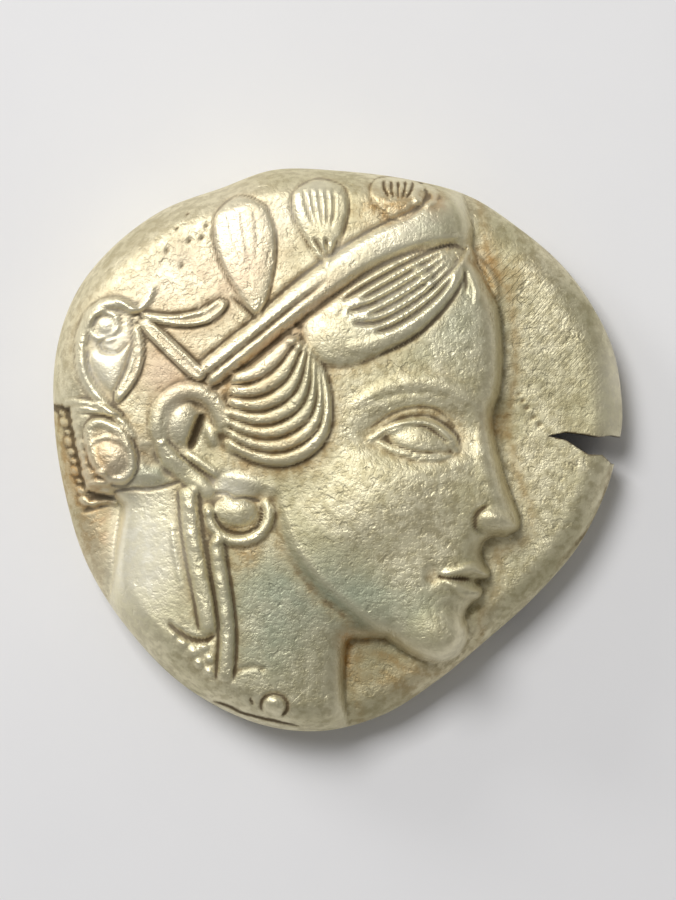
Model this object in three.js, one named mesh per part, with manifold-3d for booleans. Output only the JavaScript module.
// A tetradrachm: a thick, hand-struck silver coin, lying on its reverse.
//
// Millimetres, +Z up. The origin is on the resting plane, under the middle of the coin. X runs to the
// right and Y to the top of the helmeted head on the obverse, which faces up and looks along +X. The
// reverse, underneath, has an owl in a sunk square. The coin is one solid: each face is a height over
// the resting plane, built up from the lines, pads, bumps and locks that a die cutter would cut, and
// the flan's edge turns over between the two. The triangles are small where the relief is sharp.

import * as THREE from "three";
import { mergeVertices } from "three/addons/utils/BufferGeometryUtils.js";
import Module from "manifold-3d";

// ---- The flan -------------------------------------------------------------------------------------

const FIELD_HEIGHT = 3.12; // the plain field beside the head, over the resting plane
const FIELD_DISH = 0.25; // how much lower the field is at the edge than in the middle
const BELT_HEIGHT = 1.5; // where the edge is widest
const EDGE_WIDTH = 1.35; // from the edge to where a face starts to turn over
const MEAN_RADIUS = 11.5;
const TRIANGLES = 9600;

// The outline that the hammer left: never quite round, with a flat on the lower right.
const FLAN = [
  [11.7, 1.6], [11.35, 4.0], [10.4, 6.0], [9.15, 7.65], [7.45, 9.1], [5.4, 10.42], [2.9, 11.1],
  [0.1, 11.45], [-2.6, 11.5], [-4.8, 10.75], [-7.2, 9.85], [-9.3, 8.3], [-10.8, 6.4], [-11.6, 4.0],
  [-11.7, 1.2], [-11.3, -1.6], [-10.4, -4.6], [-8.8, -7.2], [-6.5, -9.6], [-3.7, -11.15], [-0.9, -11.6],
  [1.8, -10.95], [4.1, -9.5], [6.1, -7.85], [8.0, -6.15], [9.8, -4.1], [10.95, -1.9], [11.5, 0.0],
];

// A stress crack that runs in from the edge, through the whole thickness.
const CRACK_TIP = [8.55, 0.55];
const CRACK_UPPER = [[9.3, 0.7], [10.0, 0.62], [10.7, 0.5], [11.2, 0.56], [12.5, 0.3]];
const CRACK_LOWER = [[12.5, -0.75], [11.2, -0.58], [10.8, -0.22], [10.2, -0.2], [9.8, 0.05], [9.3, 0.38]];

// ---- The head's frame -----------------------------------------------------------------------------

const FACE_THIRD = 5.35; // hairline to brow, brow to nose base, and nose base to chin
const HEAD_TILT = THREE.MathUtils.degToRad(8); // the head leans forward
const CHIN = [4.55, -8.75];
const RELIEF_WALL = 0.5; // the step from the field up to the head
const RELIEF_TURN = 0.75; // how much more the head rises as it turns away from its outline
const RELIEF_DOME = 0.75; // the bulge of the whole head over the middle of the coin
const JAW_LEDGE = 0.55; // the face stands this far over the neck

// ---- The reverse ----------------------------------------------------------------------------------

const INCUSE_SIDE = 15.4;
const INCUSE_CORNER = 1.6;
const INCUSE_DEPTH = 1.0;
const INCUSE_CENTRE = [0.45, 0.35];

// ---- Curves ---------------------------------------------------------------------------------------

const ease = (t) => THREE.MathUtils.smoothstep(t, 0, 1);
const rounded = (t) => Math.sqrt(Math.min(Math.max(t, 0), 1) * (2 - Math.min(Math.max(t, 0), 1)));
const mix = (a, b, t) => [a[0] + (b[0] - a[0]) * t, a[1] + (b[1] - a[1]) * t];
const distance = (a, b) => Math.hypot(a[0] - b[0], a[1] - b[1]);

/** A smooth curve through the points, as a polyline with a few steps to each span. */
function curve(points, closed = false, steps = 6) {
  const knots = points.map(([x, y]) => new THREE.Vector3(x, y, 0));
  const spans = closed ? points.length : points.length - 1;
  const smooth = new THREE.CatmullRomCurve3(knots, closed, "catmullrom", 0.5);
  return smooth.getPoints(spans * steps).map((p) => [p.x, p.y]);
}

/** The running length at each point of a polyline. */
function lengths(line) {
  const run = [0];
  line.slice(1).forEach((p, i) => run.push(run[i] + distance(line[i], p)));
  return run;
}

/** The same polyline with its points evenly spaced. */
function even(line, count) {
  const run = lengths(line);
  const total = run.at(-1);
  let span = 0;
  return Array.from({ length: count }, (_, k) => {
    const wanted = (total * k) / (count - 1);
    while (span < line.length - 2 && run[span + 1] < wanted) span += 1;
    const share = (wanted - run[span]) / (run[span + 1] - run[span] || 1);
    return mix(line[span], line[span + 1], share);
  });
}

/** The curve part-way between two others, over a part of their length. */
function between(first, second, share, start = 0, end = 1, steps = 24) {
  const a = even(curve(first), steps);
  const b = even(curve(second), steps);
  const low = Math.round(start * (steps - 1));
  const high = Math.round(end * (steps - 1));
  return a.map((p, i) => mix(p, b[i], share)).slice(low, high + 1);
}

/** Points round an ellipse, or along an arc of one; a full turn leaves the last point out. */
function ring([x, y], [rx, ry], count = 12, start = 0, end = 360) {
  const full = Math.abs(end - start) >= 360;
  return Array.from({ length: count }, (_, k) => {
    const share = k / (full ? count : count - 1);
    const angle = THREE.MathUtils.degToRad(start + (end - start) * share);
    return [x + rx * Math.cos(angle), y + ry * Math.sin(angle)];
  });
}

/** Points round a leaf, from base to tip and back: broadest at the share `belly`, and fuller when
 *  `blunt` is low. */
function leaf(base, tip, half, belly = 0.6, blunt = 0.6, count = 7) {
  const length = distance(base, tip);
  const [ux, uy] = [(tip[0] - base[0]) / length, (tip[1] - base[1]) / length];
  const power = Math.log(0.5) / Math.log(belly);
  const side = (sign) =>
    Array.from({ length: count }, (_, k) => {
      const share = (k + 1) / (count + 1);
      const width = sign * half * Math.sin(Math.PI * share ** power) ** blunt;
      const [x, y] = mix(base, tip, share);
      return [x - width * uy, y + width * ux];
    });
  return [base, ...side(1), tip, ...side(-1).reverse()];
}

/** The nearest place on a polyline: its distance and its share of the length. */
function nearest(line, run, x, y) {
  let square = Infinity;
  let share = 0;
  for (let i = 0; i < line.length - 1; i += 1) {
    const length = run[i + 1] - run[i];
    if (length < 1e-9) continue;
    const dx = (line[i + 1][0] - line[i][0]) / length;
    const dy = (line[i + 1][1] - line[i][1]) / length;
    const px = x - line[i][0];
    const py = y - line[i][1];
    const along = Math.min(Math.max(px * dx + py * dy, 0), length);
    const gap = (px - along * dx) ** 2 + (py - along * dy) ** 2;
    if (gap < square) {
      square = gap;
      share = (run[i] + along) / run.at(-1);
    }
  }
  return { gap: Math.sqrt(square), share };
}

/** Whether a point is inside a closed polyline. */
function within(line, x, y) {
  let odd = false;
  for (let i = 0; i < line.length - 1; i += 1) {
    const [ax, ay] = line[i];
    const [bx, by] = line[i + 1];
    if (ay > y !== by > y && x < ((bx - ax) * (y - ay)) / (by - ay) + ax) odd = !odd;
  }
  return odd;
}

/** A closed shape that tells how deep a point lies in it, negative outside. */
function region(points) {
  const line = [...points, points[0]];
  const run = lengths(line);
  return (x, y) => nearest(line, run, x, y).gap * (within(line, x, y) ? 1 : -1);
}

// ---- The die cutter's tools -----------------------------------------------------------------------

/** One struck face: a ground, and the marks that raise or sink it. */
class Relief {
  constructor(ground) {
    this.ground = ground;
    this.marks = [];
  }

  /** Keeps a mark that only matters within reach of some points. */
  mark(points, reach, rise) {
    const xs = points.map((p) => p[0]);
    const ys = points.map((p) => p[1]);
    this.marks.push({
      left: Math.min(...xs) - reach,
      right: Math.max(...xs) + reach,
      bottom: Math.min(...ys) - reach,
      top: Math.max(...ys) + reach,
      rise,
    });
  }

  /** A line that is `half` wide each way and fades over the share `tips` at its ends. */
  line(points, half, height, { tips = [0.3, 0.3], crisp = 0.7, closed = false } = {}) {
    const path = curve(points, closed);
    const run = lengths(path);
    const fade = closed ? () => 1 : (share) => taper(share, tips);
    this.mark(path, half, (x, y) => {
      const { gap, share } = nearest(path, run, x, y);
      const full = fade(share);
      const body = 1 - (gap / (half * (0.35 + 0.65 * full))) ** 2;
      return body > 0 ? height * full * body ** crisp : 0;
    });
  }

  /** A raised area with a ridge of the width `rim` along its border. */
  framed(points, fill, height, rim = 0.14) {
    const outline = curve(points, true);
    const depth = region(outline.slice(0, -1));
    this.mark(outline, 0, (x, y) => {
      const inner = depth(x, y);
      if (inner <= 0) return 0;
      return fill * rounded(inner / 0.2) + height * Math.max(0, 1 - (inner / rim - 1) ** 2) ** 0.8;
    });
  }

  /** A raised area whose border rounds up over the width of its shoulder. */
  pad(points, height, shoulder, bulge = 0) {
    const outline = curve(points, true);
    const depth = region(outline.slice(0, -1));
    this.mark(outline, 0, (x, y) => {
      const inner = depth(x, y);
      if (inner <= 0) return 0;
      return height * rounded(inner / shoulder) + bulge * ease(inner / (4 * shoulder));
    });
  }

  /** An oval swelling or hollow. */
  bump(centre, [rx, ry], height, { turn = 0, power = 2 } = {}) {
    const angle = THREE.MathUtils.degToRad(turn);
    const [cos, sin] = [Math.cos(angle), Math.sin(angle)];
    this.mark([centre], Math.max(rx, ry), (x, y) => {
      const dx = x - centre[0];
      const dy = y - centre[1];
      const body = 1 - ((dx * cos + dy * sin) / rx) ** 2 - ((dy * cos - dx * sin) / ry) ** 2;
      return body > 0 ? height * body ** power : 0;
    });
  }

  /** Locks of hair, each lying between two neighbouring partings. */
  locks(partings, height, tips = [0.1, 0.1], steps = 40) {
    const lines = partings.map((points) => even(curve(points), steps));
    const locks = lines.slice(1).map((second, i) => {
      const middle = second.map((p, k) => mix(p, lines[i][k], 0.5));
      const halves = second.map((p, k) => distance(p, lines[i][k]) / 2);
      return { middle, halves, run: lengths(middle) };
    });
    this.mark(lines.flat(), 0, (x, y) =>
      Math.max(
        0,
        ...locks.map(({ middle, halves, run }) => {
          const { gap, share } = nearest(middle, run, x, y);
          const full = taper(share, tips);
          const place = share * (steps - 1);
          const [low, high] = [halves[Math.floor(place)], halves[Math.ceil(place)]];
          const half = THREE.MathUtils.lerp(low, high, place % 1) * (0.4 + 0.6 * full);
          return height * full * rounded(1 - gap / Math.max(half, 0.01));
        }),
      ),
    );
  }

  /** The height of the finished face. */
  at(x, y) {
    let height = this.ground(x, y);
    for (const mark of this.marks)
      if (x > mark.left && x < mark.right && y > mark.bottom && y < mark.top) height += mark.rise(x, y);
    return height;
  }
}

/** 1 along a line, falling to 0 over the given shares at its two ends. */
function taper(share, [first, last]) {
  const start = first > 0 ? rounded(share / first) : 1;
  const end = last > 0 ? rounded((1 - share) / last) : 1;
  return Math.min(start, end);
}

// ---- Obverse: the head ----------------------------------------------------------------------------

/** A place on the head: u forward and v up from the chin, in thirds of the face. */
function onFace(u, v) {
  const [cos, sin] = [Math.cos(HEAD_TILT), Math.sin(HEAD_TILT)];
  return [CHIN[0] + FACE_THIRD * (u * cos + v * sin), CHIN[1] + FACE_THIRD * (v * cos - u * sin)];
}
const face = (...pairs) => pairs.map(([u, v]) => onFace(u, v));

const FOREHEAD_AND_NOSE = face(
  [-0.22, 3.05], [-0.02, 2.75], [0.07, 2.4], [0.09, 2.12], [0.06, 1.92], [0.12, 1.7],
  [0.24, 1.42], [0.36, 1.2], [0.375, 1.09], [0.29, 1.02],
);
const LIPS_AND_CHIN = face(
  [0.29, 1.02], [0.16, 0.985], [0.12, 0.9], [0.155, 0.79], [0.205, 0.735], [0.19, 0.685],
  [0.12, 0.655], [0.165, 0.605], [0.165, 0.545], [0.095, 0.465], [0.065, 0.385],
  [0.1, 0.28], [0.1, 0.15], [0.03, 0.04], [-0.1, -0.01], [-0.3, 0.02], [-0.52, 0.12],
);
const JAW = face(
  [-0.1, -0.03], [-0.3, 0], [-0.55, 0.11], [-0.85, 0.27], [-1.12, 0.45], [-1.36, 0.7], [-1.52, 1.05],
);
const THROAT = [[1.1, -7.75], [0.45, -7.85], [0.3, -8.6], [0.25, -9.8], [0.4, -11.0], [0.8, -13.0]];
const NAPE = [[-11.5, -13.0], [-9.6, -6.6], [-9.25, -5.4], [-9.05, -3.8], [-8.85, -2.3]];
const CREST_SIDE = [
  [-9.2, -1.95], [-10.3, -1.7], [-10.7, 0], [-11, 1.6], [-14, 2.5], [-14, 8], [-8, 14],
  [0, 15], [4, 14], [5, 11.5], [5.25, 10], [5.5, 9], [5.45, 8.3],
];
const BEHIND_JAW = [[-3.9, -1.6], [-5.2, -1.2], [-6.6, -0.9], [-7.2, -1.45], [-8.6, -1.7], [-9.3, -1.95]];
const AROUND_HEAD = [[-20, -1.9], [-20, 20], [20, 20], [20, -10], [4.4, -8.9]];

/** The broad form of the head and neck, before any carving. */
function headForm() {
  const head = region([
    ...curve(FOREHEAD_AND_NOSE), ...curve(LIPS_AND_CHIN), ...curve([LIPS_AND_CHIN.at(-1), ...THROAT]),
    ...curve(NAPE), ...CREST_SIDE,
  ]);
  const overNeck = region([...curve(JAW), ...curve(BEHIND_JAW), ...AROUND_HEAD]);
  const dome = 12.5;
  return (x, y) => {
    const field = FIELD_HEIGHT - FIELD_DISH * ((x * x + y * y) / MEAN_RADIUS ** 2);
    const inner = head(x, y);
    if (inner <= 0) return field;
    const wall = 1 - Math.exp(-inner / 0.2);
    const bulge = Math.max(0, 1 - ((x + 0.3) / dome) ** 2 - ((y - 0.5) / dome) ** 2);
    const fade = 0.3 + 0.7 * ease((Math.hypot(x + 4.4, y + 1.2) - 0.5) / 5);
    const ledge = JAW_LEDGE * ease(overNeck(x, y) / 0.75 + 0.2) * fade;
    return field + RELIEF_TURN * rounded(inner / 5.5) + wall * (RELIEF_WALL + RELIEF_DOME * bulge + ledge);
  };
}

function cutFace(die) {
  const t = FACE_THIRD;
  // brow and eye
  die.bump(onFace(-0.46, 1.7), [0.6 * t, 0.29 * t], -0.42, { turn: 4, power: 1.6 });
  die.line(face([0.04, 1.9], [-0.12, 2.01], [-0.4, 2.09], [-0.74, 2.03], [-1.02, 1.84]), 0.4, 0.12, {
    tips: [0.35, 0.5],
    crisp: 1.2,
  });
  die.bump(onFace(-0.46, 1.675), [0.27 * t, 0.14 * t], 0.46, { turn: -8, power: 0.75 });
  die.line(face([-0.185, 1.6], [-0.25, 1.71], [-0.42, 1.8], [-0.63, 1.755], [-0.86, 1.6]), 0.2, 0.22, {
    tips: [0.12, 0.35],
  });
  die.line(face([-0.21, 1.585], [-0.32, 1.545], [-0.48, 1.53], [-0.66, 1.56], [-0.8, 1.605]), 0.16, 0.16);
  // nose
  die.bump(onFace(0.185, 1.125), [0.15 * t, 0.1 * t], 0.24, { turn: -15, power: 1 });
  die.line(face([0.11, 1.25], [0.035, 1.17], [0.035, 1.06], [0.12, 1]), 0.16, -0.16, { crisp: 1.2 });
  // lips
  die.line(face([0.18, 0.735], [0.08, 0.765], [-0.02, 0.73], [-0.17, 0.672]), 0.28, 0.24, {
    tips: [0.12, 0.6],
    crisp: 0.9,
  });
  die.line(face([0.15, 0.575], [0.05, 0.567], [-0.05, 0.605], [-0.15, 0.652]), 0.28, 0.24, {
    tips: [0.12, 0.6],
    crisp: 0.9,
  });
  die.line(face([0.14, 0.658], [0.03, 0.665], [-0.09, 0.655], [-0.2, 0.66]), 0.11, -0.22, { crisp: 0.9 });
  die.bump(onFace(0.02, 0.45), [0.2 * t, 0.08 * t], -0.16, { power: 1.5 });
  // chin and cheek
  die.bump(onFace(-0.12, 0.22), [0.3 * t, 0.24 * t], 0.22, { power: 1.8 });
  die.bump(onFace(-0.66, 1.22), [0.75 * t, 0.52 * t], 0.24, { turn: 20, power: 2.2 });
}

const VISOR_UPPER = [
  [-5.7, 3.35], [-4.6, 4.25], [-3.3, 5.3], [-1.9, 6.55], [0, 7.95], [1.5, 8.85], [2.9, 9.5], [4, 10.4],
];
const VISOR_LOWER = [
  [-5.2, 2.3], [-3.6, 3.55], [-2.3, 4.6], [-1, 5.55], [0.4, 6.6], [1.6, 7.4], [3.1, 8.05], [4.5, 8.35],
  [5.45, 8.3],
];
const OLIVE_LEAVES = [
  { base: [-3.2, 5.3], tip: [-4.05, 10.25], half: 1.25, height: 0.2, belly: 0.66 },
  { base: [-0.45, 7.3], tip: [-0.85, 10.95], half: 1.15, height: 0.2, belly: 0.7 },
  { base: [2.35, 9.2], tip: [2.45, 11.2], half: 1.05, height: 0.16, belly: 0.6 },
];

function cutHelmet(die) {
  // the visor: one broad band, grooved along its back half
  die.locks([VISOR_UPPER, VISOR_LOWER], 0.27, [0.05, 0.12]);
  const groove = between(VISOR_UPPER, VISOR_LOWER, 0.52, 0.02, 0.6);
  die.line(groove, 0.16, -0.18, { tips: [0.02, 0.5], crisp: 1 });
  // olive leaves standing on the visor
  for (const { base, tip, half, height, belly } of OLIVE_LEAVES)
    die.pad(leaf(base, tip, half, belly, 0.42), height, 0.35 * half);
  cutScroll(die);
  // neck guard, the knot at the nape and the hollow behind the ear
  const guard = [
    [-11.1, 2], [-10.2, 2], [-9.3, 1.75], [-8.7, 1.4], [-9.3, 1.35], [-10.2, 1.5], [-11.1, 1.55],
  ];
  die.framed(guard, 0.1, 0.1);
  die.pad(ring([-9.3, 0.15], [1.3, 1.6]), 0.26, 0.9);
  die.line(ring([-9.2, 0.1], [0.68, 0.66]), 0.14, -0.12, { closed: true, crisp: 1 });
  die.bump([-7.35, -0.45], [0.9, 0.6], -0.22, { turn: -35, power: 1.2 });
}

/** The palmette scroll on the bowl: an arm, a stalk, a drop and a volute. */
function cutScroll(die) {
  const arm = [
    [-7.85, 5.5], [-6.6, 5.42], [-5.5, 5.65], [-4.85, 6.02], [-4.45, 5.9], [-4.65, 5.5], [-5.2, 5.1],
    [-5.95, 4.93], [-6.9, 5], [-7.75, 5.2],
  ];
  const stalk = [[-8, 4.98], [-6.9, 3.8], [-5.72, 2.77], [-5.38, 3.12], [-6.55, 4.3], [-7.6, 5.2]];
  const edge = [
    [-8, 5], [-7.82, 4.05], [-8.05, 2.94], [-8.8, 1.92], [-9, 2.23], [-8.56, 3.1], [-8.27, 4.05],
    [-8.25, 4.84],
  ];
  for (const outline of [arm, stalk, edge]) die.framed(outline, 0.12, 0.1);
  const drop = [
    [-8.45, 4.2], [-8.65, 3.1], [-9.05, 2.3], [-9.7, 2.85], [-10.05, 3.6], [-9.85, 3.95], [-9.2, 3.85],
  ];
  die.pad(drop, 0.14, 0.7);
  const volute = [[-8.13, 5.5], [-8.56, 5.8], [-9.27, 5.88], [-9.98, 5.47], [-10.33, 4.68], [-10.4, 3.73]];
  const stem = [[-10.12, 2.71], [-9.43, 1.76], [-8.72, 1.05], [-8.2, 0.4]];
  die.line([...volute, ...stem], 0.26, 0.22, { tips: [0.06, 0.12] });
  die.line(ring([-9.43, 4.98], [0.6, 0.56]), 0.15, 0.15, { closed: true });
  const curl = [
    [-8.8, 5.45], [-8.76, 4.92], [-8.96, 4.58], [-9.43, 4.42], [-9.6, 4.2], [-9.43, 3.97], [-8.88, 3.9],
  ];
  die.line(curl, 0.1, -0.16, { tips: [0.1, 0.1], crisp: 1 });
  die.line([[-8.45, 5.62], [-8, 5.65], [-7.65, 6.05], [-7.45, 6.65]], 0.18, 0.16, { tips: [0.2, 0.3] });
}

const ROLL_UPPER = [
  [-1.45, 4.6], [-1.2, 5.4], [-0.5, 5.95], [0.3, 6.4], [1.5, 7.15], [3, 7.85], [4.5, 8.2], [5.3, 8.1],
];
const ROLL_LOWER = [
  [-1.45, 4.6], [-1.2, 3.85], [-0.4, 3.4], [0.6, 3.45], [2, 4.1], [3.6, 5.15], [4.8, 6.7], [5.3, 8.1],
];
const ROLL_PARTINGS = [0.1, 0.22, 0.34, 0.46, 0.57, 0.68, 0.83];
const FAN_INNER = [[-4.3, 3.1], [-3.6, 3.35], [-2.9, 3.9], [-2.2, 4.45], [-1.6, 4.6]];
const FAN_OUTER = [
  [-4.6, 0.2], [-3.9, -0.25], [-3.2, -0.55], [-2.5, -0.68], [-1.8, -0.6], [-1, -0.2], [-0.45, 0.5],
  [-0.3, 1.5], [-0.45, 2.6], [-0.8, 3.6],
];
const FAN_LOCKS = 7;

function cutHair(die) {
  // the roll over the forehead, combed forward under the visor
  die.pad([...ROLL_UPPER, ...ROLL_LOWER.slice(1, -1).reverse()], 0.36, 1.3, 0.16);
  for (const share of ROLL_PARTINGS) {
    const parting = between(ROLL_UPPER, ROLL_LOWER, share, 0.28, 1);
    die.line(parting, 0.18, -0.28, { tips: [0.2, 0.06], crisp: 1.2 });
  }
  die.bump([3.55, 7.2], [0.55, 0.32], 0.16, { turn: -40, power: 0.8 });
  // the fan of locks over the temple
  die.pad([...FAN_INNER, ...[...FAN_OUTER].reverse()], 0.14, 0.6);
  const partings = Array.from({ length: FAN_LOCKS + 1 }, (_, k) =>
    between(FAN_INNER, FAN_OUTER, (k / FAN_LOCKS) ** 0.9),
  );
  die.locks(partings, 0.22, [0.12, 0.12]);
  die.line([[-2.3, 4.5], [-1.8, 4.35], [-1.35, 3.95]], 0.2, 0.16);
  // a wisp on the forehead
  const wisp = [[5.25, 8.15], [5.7, 7.7], [6.15, 7.15], [6.4, 6.6], [6.45, 6], [6.4, 5.5]];
  die.line(wisp, 0.22, 0.14, { crisp: 1 });
}

function cutEarAndJewel(die) {
  die.bump([-5.9, 0.9], [1.7, 2.1], -0.12, { power: 1 });
  die.line(ring([-5.95, 0.95], [1.3, 1.4], 8, 215, -15), 0.42, 0.28, { tips: [0.2, 0.2], crisp: 0.8 });
  die.bump([-6.3, 1.05], [0.68, 0.95], 0.3, { turn: -14, power: 0.8 });
  die.line([[-6, 0], [-5.75, 0.7], [-5.45, 1.45]], 0.22, -0.42, { tips: [0.3, 0.4], crisp: 0.9 });
  die.bump([-5.1, 0.55], [0.28, 0.5], 0.2, { turn: 15, power: 0.9 });
  const lobe = [[-7.2, 0.35], [-6.85, -0.3], [-6.2, -0.9], [-5.6, -1.4], [-5.05, -1.9]];
  die.line(lobe, 0.42, 0.26, { crisp: 0.8 });
  die.line([[-6.1, -0.15], [-5.5, -0.55], [-4.8, -1.1]], 0.2, 0.16);
  // the earring: a ring round a ball, hung below a smooth lobe
  die.bump([-4.05, -1.5], [1.05, 0.6], 0.16, { power: 0.7 });
  die.line(ring([-4, -2.6], [1.2, 1.1], 12, 165, 395), 0.25, 0.22, { tips: [0.1, 0.2], crisp: 0.8 });
  die.bump([-4.15, -2.5], [0.92, 0.62], 0.32, { turn: -8, power: 0.7 });
  const seam = [[-5, -1.75], [-4.5, -1.78], [-4.2, -1.98], [-3.7, -1.95], [-3.15, -2.1]];
  die.line(seam, 0.12, -0.2, { crisp: 1 });
  die.bump([-5.25, -2.45], [0.28, 0.3], 0.18, { power: 0.8 });
  die.bump([-4.9, -3.65], [0.26, 0.24], 0.2, { power: 0.8 });
}

function cutNeck(die) {
  // two long tresses, the back one ending in a curl
  const back = [[-6.05, -1.5], [-5.95, -3], [-5.7, -4.6], [-5.4, -6.1], [-5.2, -7.4]];
  die.line(back, 0.4, 0.3, { tips: [0.06, 0.08], crisp: 0.6 });
  const front = [[-4.95, -3.6], [-4.8, -4.8], [-4.55, -6.5], [-4.48, -7.9], [-4.6, -9.4]];
  die.line(front, 0.34, 0.3, { tips: [0.06, 0.08], crisp: 0.6 });
  const fold = [[-6.9, -7], [-6.6, -7.3], [-6, -7.65], [-5.4, -7.75], [-4.95, -7.5]];
  die.line(fold, 0.14, -0.24, { crisp: 0.9 });
  const curls = [[-6.3, -7.85], [-5.85, -8.2], [-5.45, -8], [-5.65, -8.65], [-5.2, -8.45], [-5.25, -9]];
  for (const curl of curls) die.bump(curl, [0.28, 0.24], 0.15, { turn: -30, power: 1 });
  // a bead in a ring at the cut of the neck
  die.bump([-2.6, -10.4], [0.45, 0.42], 0.24, { power: 0.7 });
  die.line(ring([-2.6, -10.4], [0.58, 0.55], 11), 0.12, -0.2, { closed: true, crisp: 0.9 });
  // the row of bristle ends down the nape
  for (let k = 0; k < 9; k += 1)
    die.bump([-11.1 + 0.094 * k, 1.55 - 0.425 * k], [0.24, 0.19], 0.22, { turn: -30, power: 0.8 });
}

function strikeObverse() {
  const die = new Relief(headForm());
  cutFace(die);
  cutHelmet(die);
  cutHair(die);
  cutEarAndJewel(die);
  cutNeck(die);
  return (x, y) => die.at(x, y);
}

// ---- Reverse: an owl in a sunk square -------------------------------------------------------------

/** The ground of the reverse, seen from below: nought on the rim and lower in the sunk square. */
function incuse(x, y) {
  const half = INCUSE_SIDE / 2 - INCUSE_CORNER;
  const dx = Math.abs(x) - half;
  const dy = Math.abs(y) - half;
  const outside = Math.hypot(Math.max(dx, 0), Math.max(dy, 0)) + Math.min(Math.max(dx, dy), 0);
  return -INCUSE_DEPTH * ease((INCUSE_CORNER - outside) / 0.8);
}

const OWL_BODY = [
  [-1.6, 3.2], [-2.6, 1.6], [-3.2, -0.6], [-3.3, -2.6], [-3.9, -4.6], [-2.6, -4.9], [-1.4, -3.6],
  [0.2, -3.3], [1.7, -2.4], [2.5, -0.6], [2.6, 1.4], [2, 3.2],
];
const OWL_WING = [
  [-0.6, 2.4], [-1.9, 1], [-2.7, -1.2], [-3.3, -3.6], [-2.2, -3.2], [-0.6, -2], [0.4, -0.2], [0.3, 1.6],
];

function cutOwl(die) {
  die.pad(OWL_BODY, 0.5, 2, 0.1);
  die.pad(OWL_WING, 0.12, 0.7);
  for (let k = 0; k < 4; k += 1) {
    const s = k / 3;
    const root = [-2 + 1.6 * s, 0.6 - 0.1 * s];
    const end = [-3.1 + 1.2 * s, -2.6 - 0.2 * s];
    die.line([root, [-2.5 + 1.4 * s, -0.9], end], 0.12, -0.12, { crisp: 1 });
  }
  die.pad(ring([0.2, 4.2], [2.3, 1.95]), 0.55, 1.4);
  for (const side of [-1, 1]) {
    const eye = [0.2 + 0.95 * side, 4.35];
    die.line(ring(eye, [0.62, 0.62], 10), 0.16, 0.14, { closed: true });
    die.bump(eye, [0.3, 0.3], 0.16, { power: 0.8 });
  }
  die.line([[0.2, 4.3], [0.2, 3.8], [0.2, 3.1]], 0.2, 0.2);
  for (const x of [-0.4, 1.3]) {
    die.line([[x - 0.1, -3], [x, -4.4], [x + 0.1, -5.4]], 0.26, 0.35, { tips: [0.1, 0.1] });
    for (const toe of [-0.7, 0.1, 0.8])
      die.line([[x + 0.1, -5.3], [x + 0.1 + toe, -6]], 0.16, 0.28, { tips: [0.1, 0.3] });
  }
}

function strikeReverse() {
  const die = new Relief(incuse);
  cutOwl(die);
  // an olive sprig and a crescent
  die.line([[-6.9, 6.6], [-6, 5.6], [-5.2, 4.5]], 0.14, 0.3, { tips: [0.1, 0.2] });
  die.pad(leaf([-6.2, 5.8], [-4, 6.7], 0.5, 0.5), 0.34, 0.35);
  die.pad(leaf([-5.5, 5], [-3.6, 4.9], 0.45, 0.5), 0.34, 0.35);
  die.bump([-5.5, 3.9], [0.45, 0.5], 0.36, { power: 0.7 });
  die.line(ring([-3.75, 3.4], [0.8, 0.8], 7, 200, 340), 0.26, 0.34, { tips: [0.4, 0.4] });
  // rows of short strokes down the right side
  for (let row = 0; row < 3; row += 1)
    for (let k = 0; k < 3; k += 1) {
      const [x, y] = [4.7 + 0.7 * k, 3.4 - 2.5 * row];
      die.line([[x, y], [x, y - 1.3]], 0.2, 0.24, { tips: [0.2, 0.2] });
    }
  return (x, y) => -die.at(INCUSE_CENTRE[0] - x, y - INCUSE_CENTRE[1]);
}

// ---- The surface of the coin ----------------------------------------------------------------------

const OBVERSE = 0;
const REVERSE = 1;

/** The flan's outline as a radius in each direction, centred on the outline's box. */
function flanOutline() {
  const line = curve(FLAN, true, 16);
  const xs = line.map((p) => p[0]);
  const ys = line.map((p) => p[1]);
  const centre = [(Math.min(...xs) + Math.max(...xs)) / 2, (Math.min(...ys) + Math.max(...ys)) / 2];
  const polar = line.map(([x, y]) => ({ angle: Math.atan2(y, x), radius: Math.hypot(x, y) }));
  const radius = (angle) => {
    for (let i = 0; i < polar.length - 1; i += 1) {
      const [from, to] = [polar[i], polar[i + 1]];
      const share = turn(angle - from.angle) / turn(to.angle - from.angle);
      if (share >= 0 && share <= 1) return THREE.MathUtils.lerp(from.radius, to.radius, share);
    }
    return MEAN_RADIUS;
  };
  return { centre, radius };
}

/** An angle brought into the half turn each way round zero. */
function turn(angle) {
  return angle - 2 * Math.PI * Math.round(angle / (2 * Math.PI));
}

/** The coin's surface: a place on either side for each point of a unit disc. */
function coinSurface() {
  const { centre, radius } = flanOutline();
  const faces = [strikeObverse(), strikeReverse()];
  const width = EDGE_WIDTH / MEAN_RADIUS;
  const shoulder = 1 / (1 + (Math.PI / 2) * (width / (1 - width)));
  return (side, u, v) => {
    const reach = Math.min(1, Math.hypot(u, v));
    const angle = Math.atan2(v, u);
    const bend = (Math.max(0, reach - shoulder) / (1 - shoulder)) * (Math.PI / 2);
    const share = reach < shoulder ? (reach / shoulder) * (1 - width) : 1 - width * (1 - Math.sin(bend));
    const out = radius(angle) * share;
    const [x, y] = [out * Math.cos(angle), out * Math.sin(angle)];
    const height = BELT_HEIGHT + (faces[side](x, y) - BELT_HEIGHT) * Math.cos(bend);
    return new THREE.Vector3(x - centre[0], y - centre[1], height);
  };
}

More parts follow.
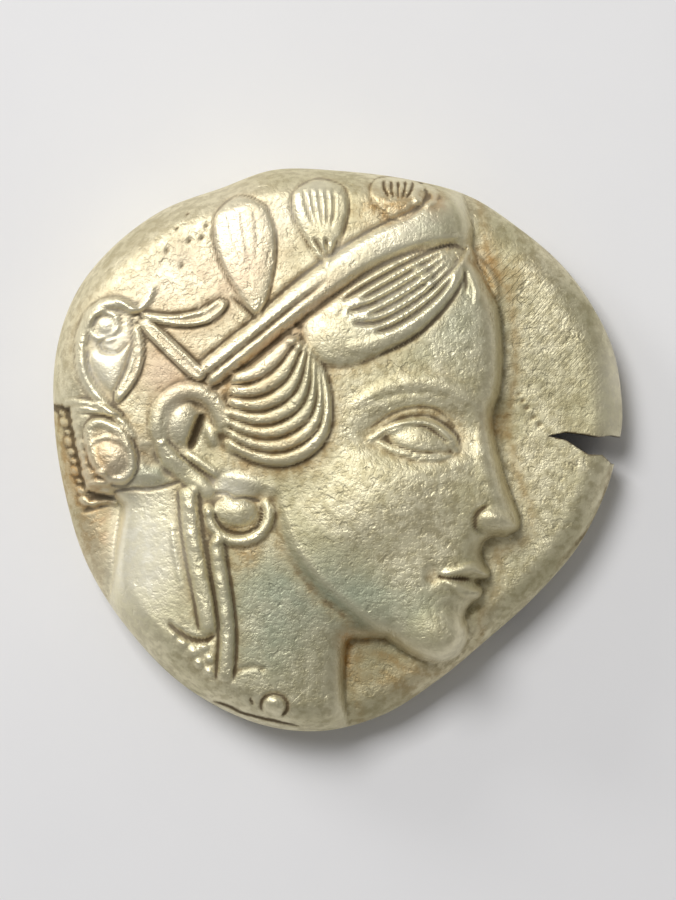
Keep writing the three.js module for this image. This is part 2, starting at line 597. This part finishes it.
const START_RINGS = 12;
const SIZE_WEIGHT = 0.8; // 0 weighs only how far a triangle is off, more also how large it is
const SPLIT_SHARES = [0.5, 0.42, 0.58, 0.34, 0.66];
const SETTLE_PASSES = 4;
const THINNEST = 0.03; // the least height of a triangle, in millimetres
const SAMPLES = [
  [1 / 3, 1 / 3, 1 / 3], [0.5, 0.5, 0], [0, 0.5, 0.5], [0.5, 0, 0.5],
  [2 / 3, 1 / 6, 1 / 6], [1 / 6, 2 / 3, 1 / 6], [1 / 6, 1 / 6, 2 / 3],
];

/** A closed mesh over both sides that is split where it departs most from the surface. */
class Skin {
  constructor(surface, rings) {
    this.surface = surface;
    this.points = [];
    this.triangles = new Set();
    this.edges = new Map();
    for (const side of [OBVERSE, REVERSE]) this.disc(side, rings);
  }

  /** Starts a side as rings of 6, 12, 18 and more points; the outermost ring is shared. */
  disc(side, rings) {
    const rim = this.rim;
    const loops = [[this.point(side, 0, 0, false)]];
    for (let k = 1; k <= rings; k += 1) {
      const outer = k === rings;
      if (outer && rim) {
        loops.push(rim);
        continue;
      }
      const loop = Array.from({ length: 6 * k }, (_, i) => {
        const angle = (Math.PI * i) / (3 * k);
        return this.point(side, (k / rings) * Math.cos(angle), (k / rings) * Math.sin(angle), outer);
      });
      loops.push(loop);
      if (outer) this.rim = loop;
    }
    for (let k = 1; k <= rings; k += 1) this.join(side, loops[k - 1], loops[k], k);
  }

  /** Fills the band between ring k - 1 and ring k. */
  join(side, inner, outer, k) {
    const at = (loop, i) => loop[i % loop.length];
    for (let sector = 0; sector < 6; sector += 1)
      for (let i = 0; i < k; i += 1) {
        const o = sector * k + i;
        const n = sector * (k - 1) + i;
        this.add(side, at(inner, n), at(outer, o), at(outer, o + 1));
        if (i < k - 1) this.add(side, at(inner, n), at(outer, o + 1), at(inner, n + 1));
      }
  }

  point(side, u, v, onRim) {
    this.points.push({ u, v, onRim, place: this.surface(side, u, v) });
    return this.points.length - 1;
  }

  /** Adds a triangle; the reverse's are turned round so that they face down. */
  add(side, a, b, c, turned = false) {
    const corners = side === REVERSE && !turned ? [a, c, b] : [a, b, c];
    return this.keep({ side, corners, ...this.departure(side, corners) });
  }

  keep(triangle) {
    this.triangles.add(triangle);
    triangle.corners.forEach((from, i) => {
      this.edges.set(this.key(from, triangle.corners[(i + 1) % 3]), triangle);
    });
    return triangle;
  }

  key(from, to) {
    return from * 1e6 + to;
  }

  /** How far the surface departs from a flat triangle: the most, weighed by size, and over its area. */
  departure(side, corners) {
    const [a, b, c] = corners.map((i) => this.points[i]);
    const plane = new THREE.Triangle(a.place, b.place, c.place);
    const normal = plane.getNormal(new THREE.Vector3());
    const gaps = SAMPLES.map(([p, q, r]) => {
      const u = p * a.u + q * b.u + r * c.u;
      const v = p * a.v + q * b.v + r * c.v;
      return Math.abs(this.surface(side, u, v).sub(a.place).dot(normal));
    });
    const area = plane.getArea();
    const misfit = area * gaps.reduce((sum, gap) => sum + gap * gap, 0);
    return { error: Math.max(...gaps) * area ** SIZE_WEIGHT, misfit };
  }

  /** The edge of a triangle that is longest on the disc, ties settled by the points' numbers. */
  longest({ corners }) {
    return corners
      .map((from, i) => {
        const to = corners[(i + 1) % 3];
        const [a, b] = [this.points[from], this.points[to]];
        const length = Math.hypot(a.u - b.u, a.v - b.v);
        return { from, to, rank: length + 1e-9 * Math.min(from, to) + 1e-12 * Math.max(from, to) };
      })
      .reduce((best, edge) => (edge.rank > best.rank ? edge : best));
  }

  /** Halves a triangle across its longest edge, with the neighbour over that edge. */
  split(triangle) {
    const { from, to } = this.longest(triangle);
    let other = this.edges.get(this.key(to, from));
    for (let edge = this.longest(other); edge.from !== to || edge.to !== from; edge = this.longest(other)) {
      this.split(other);
      other = this.edges.get(this.key(to, from));
    }
    const [a, b] = [this.points[from], this.points[to]];
    const onRim = a.onRim && b.onRim;
    const share = onRim ? 0.5 : this.turning(triangle.side, a, b);
    let [u, v] = mix([a.u, a.v], [b.u, b.v], share);
    if (onRim) [u, v] = [u / Math.hypot(u, v), v / Math.hypot(u, v)];
    const middle = this.point(triangle.side, u, v, onRim);
    for (const half of [triangle, other]) {
      this.triangles.delete(half);
      const start = half === triangle ? from : to;
      const end = half === triangle ? to : from;
      const apex = half.corners.find((i) => i !== start && i !== end);
      this.add(half.side, start, middle, apex, true);
      this.add(half.side, middle, end, apex, true);
    }
  }

  /** Where along an edge the surface is furthest from it, as on a ridge or in a groove. */
  turning(side, a, b) {
    const edge = new THREE.Line3(a.place, b.place);
    const foot = new THREE.Vector3();
    const gaps = SPLIT_SHARES.map((share) => {
      const [u, v] = mix([a.u, a.v], [b.u, b.v], share);
      const place = this.surface(side, u, v);
      return place.distanceTo(edge.closestPointToPoint(place, true, foot));
    });
    return SPLIT_SHARES[gaps.indexOf(Math.max(...gaps))];
  }

  refine(count) {
    while (this.triangles.size < count) {
      let worst = null;
      for (const triangle of this.triangles) if (!worst || triangle.error > worst.error) worst = triangle;
      this.split(worst);
    }
    for (let pass = 0; pass < SETTLE_PASSES; pass += 1)
      for (const triangle of [...this.triangles])
        if (this.triangles.has(triangle)) triangle.corners.some((_, i) => this.turnEdge(triangle, i));
  }

  /** Lays the edge between two triangles the other way across them, if that follows the surface better. */
  turnEdge(triangle, i) {
    const from = triangle.corners[i];
    const to = triangle.corners[(i + 1) % 3];
    const apex = triangle.corners[(i + 2) % 3];
    const other = this.edges.get(this.key(to, from));
    if (other.side !== triangle.side) return false;
    const foot = other.corners.find((k) => k !== from && k !== to);
    const pair = [[apex, from, foot], [foot, to, apex]];
    if (!pair.every((corners) => this.sound(triangle.side, corners))) return false;
    const [first, second] = pair.map((corners) => this.departure(triangle.side, corners));
    if (first.misfit + second.misfit > 0.95 * (triangle.misfit + other.misfit)) return false;
    for (const old of [triangle, other]) this.triangles.delete(old);
    this.edges.delete(this.key(from, to));
    this.edges.delete(this.key(to, from));
    this.keep({ side: triangle.side, corners: pair[0], ...first });
    this.keep({ side: triangle.side, corners: pair[1], ...second });
    return true;
  }

  /** Whether a triangle faces the right way and isn't a sliver. */
  sound(side, corners) {
    const [a, b, c] = corners.map((k) => this.points[k]);
    const turned = (b.u - a.u) * (c.v - a.v) - (c.u - a.u) * (b.v - a.v);
    if ((side === OBVERSE ? turned : -turned) <= 1e-7) return false;
    const sides = [a.place.distanceTo(b.place), b.place.distanceTo(c.place), c.place.distanceTo(a.place)];
    const area = new THREE.Triangle(a.place, b.place, c.place).getArea();
    return (2 * area) / Math.max(...sides) > THINNEST;
  }

  geometry() {
    const places = new Float32Array(this.points.flatMap((p) => p.place.toArray()));
    const corners = [...this.triangles].flatMap((t) => t.corners);
    return new THREE.BufferGeometry()
      .setAttribute("position", new THREE.BufferAttribute(places, 3))
      .setIndex(corners);
  }
}

// ---- The solid ------------------------------------------------------------------------------------

const wasm = await Module();
wasm.setup();

/** A manifold solid of an indexed geometry that has positions alone. */
function solidOf(geometry) {
  return new wasm.Manifold(
    new wasm.Mesh({
      numProp: 3,
      vertProperties: new Float32Array(geometry.getAttribute("position").array),
      triVerts: new Uint32Array(geometry.index.array),
    }),
  );
}

/** The geometry of a manifold solid. */
function geometryOf(solid) {
  const { numProp, vertProperties, triVerts } = solid.getMesh();
  const places = new Float32Array((vertProperties.length / numProp) * 3);
  for (let i = 0; i < places.length / 3; i += 1)
    places.set(vertProperties.subarray(i * numProp, i * numProp + 3), i * 3);
  const geometry = new THREE.BufferGeometry()
    .setAttribute("position", new THREE.BufferAttribute(places, 3))
    .setIndex(new THREE.BufferAttribute(triVerts, 1));
  geometry.computeVertexNormals();
  return geometry;
}

/** The wedge that the stress crack leaves open, taller than the coin. */
function crackWedge(centre) {
  const outline = [CRACK_TIP, ...CRACK_UPPER, ...CRACK_LOWER].map(([x, y]) => new THREE.Vector2(x, y));
  const wedge = new THREE.ExtrudeGeometry(new THREE.Shape(outline), { depth: 10, bevelEnabled: false });
  wedge.translate(-centre[0], -centre[1], -2);
  wedge.deleteAttribute("normal");
  wedge.deleteAttribute("uv");
  return mergeVertices(wedge);
}

function makeCoin() {
  const skin = new Skin(coinSurface(), START_RINGS);
  skin.refine(TRIANGLES);
  const body = solidOf(skin.geometry());
  const wedge = solidOf(crackWedge(flanOutline().centre));
  return geometryOf(body.subtract(wedge));
}

const silver = new THREE.MeshStandardMaterial({ color: 0xb4ae9c, roughness: 0.38, metalness: 1 });
const coin = new THREE.Mesh(makeCoin(), silver);
coin.name = "coin";

const part = new THREE.Group();
part.add(coin);
export default part;
